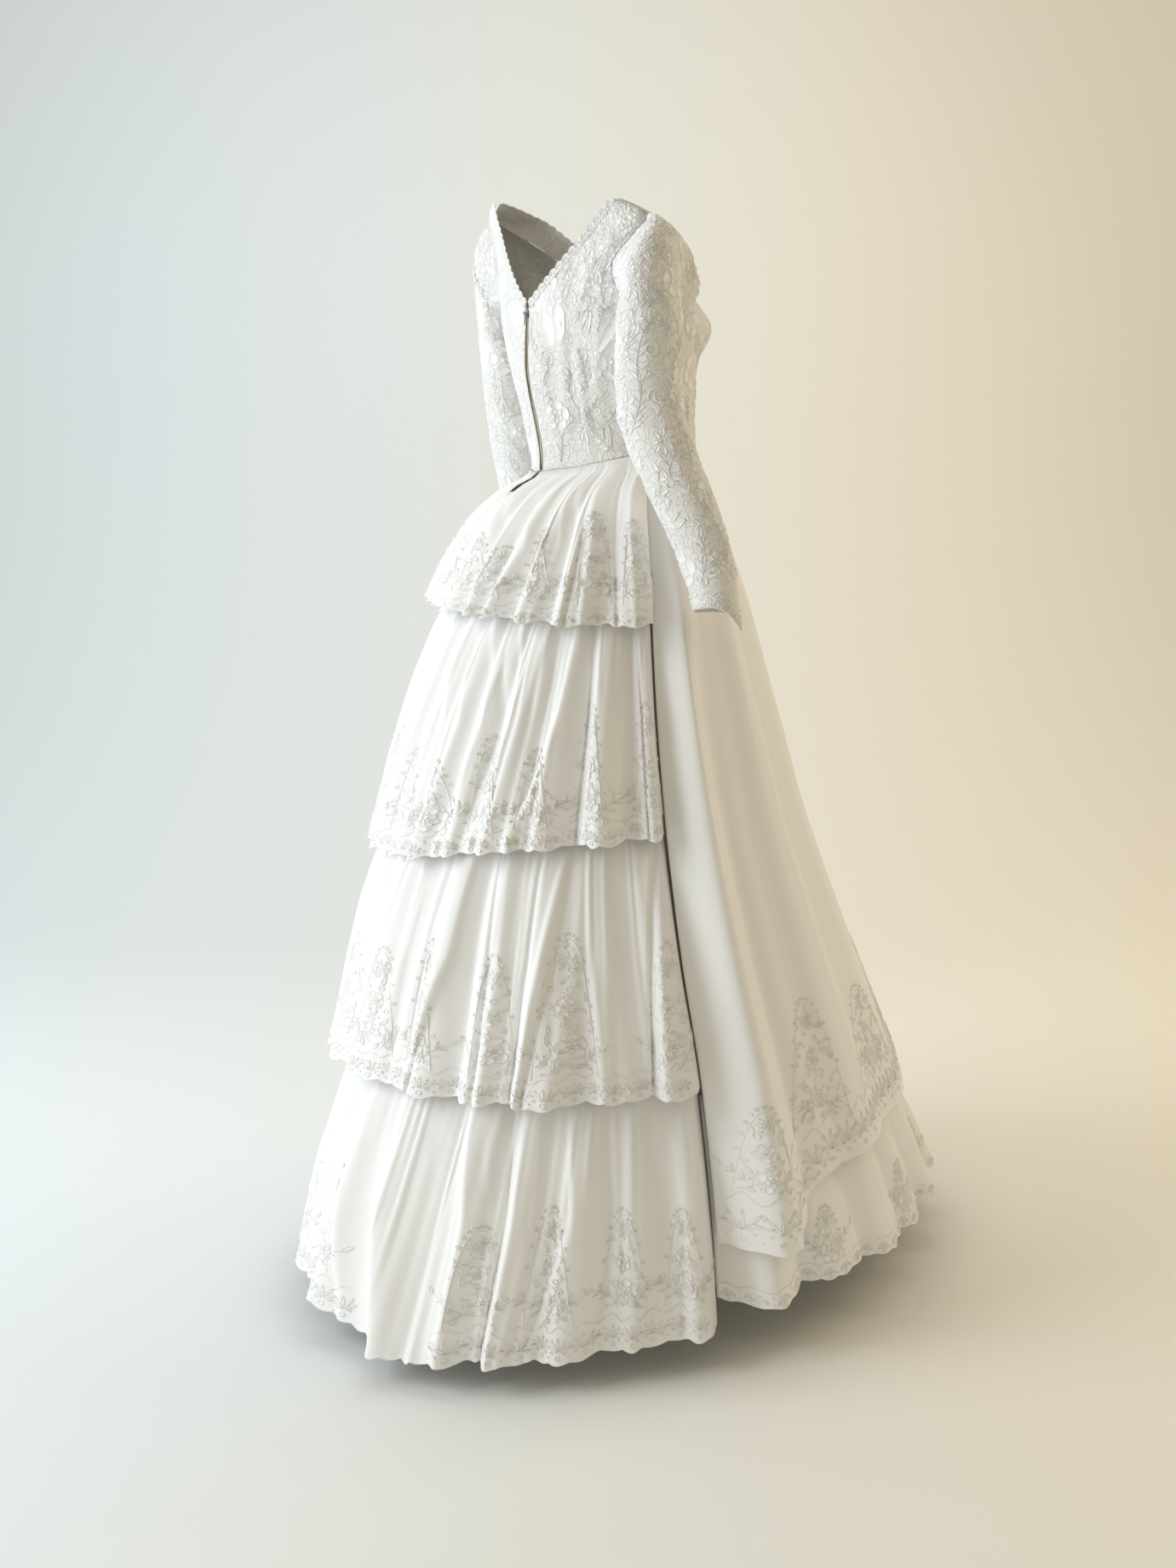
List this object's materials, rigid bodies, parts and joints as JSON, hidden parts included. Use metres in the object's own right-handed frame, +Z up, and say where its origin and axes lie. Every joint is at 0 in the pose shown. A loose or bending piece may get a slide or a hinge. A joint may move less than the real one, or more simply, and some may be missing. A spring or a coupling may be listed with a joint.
{
  "type": "wedding dress",
  "caption": "Full-length wedding gown, worn and hollow: fitted lace bodice with a deep back V and zip, long pointed sleeves, tiered gathered back skirt and plain lace-hemmed front.",
  "frame": {"origin": "between the wearer's shoulders, at the height of the shoulder seams' neck ends, on the axis that the skirt was measured from", "axes": "+Z up, -Y the way the wearer faces, +X the wearer's left"},
  "size_m": [0.7935, 0.9993, 1.4371],
  "materials": {
    "lace": "corded floral lace over a matt lining",
    "organza": "crisp and slightly sheer",
    "underskirt_cloth": "plain crisp taffeta",
    "tape": "woven cotton tape",
    "zip_metal": "dull, darkened with age"
  },
  "bodies": {
    "dress": {"bodice_front": "lace", "bodice_back_left": "lace", "bodice_back_right": "lace", "sleeve_left": "lace", "sleeve_right": "lace", "neck_edging_front": "lace", "neck_edging_back_left": "lace", "neck_edging_back_right": "lace", "underskirt": "underskirt_cloth", "tier_1": "organza", "tier_2": "organza", "tier_3": "organza", "tier_4": "organza", "front_overskirt": "organza", "front_flounce": "organza", "zip_tape_left": "tape", "zip_tape_right": "tape", "zip_slider": "zip_metal"},
    "pull_tab": {"zip_pull_tab": "zip_metal"}
  },
  "joints": [
    {"name": "pull_tab_hinge", "type": "hinge", "parent": "dress", "child": "pull_tab", "pos_m": [0, 0.0999, -0.14], "axis": [1, 0, 0], "range_deg": [0, 160]}
  ]
}
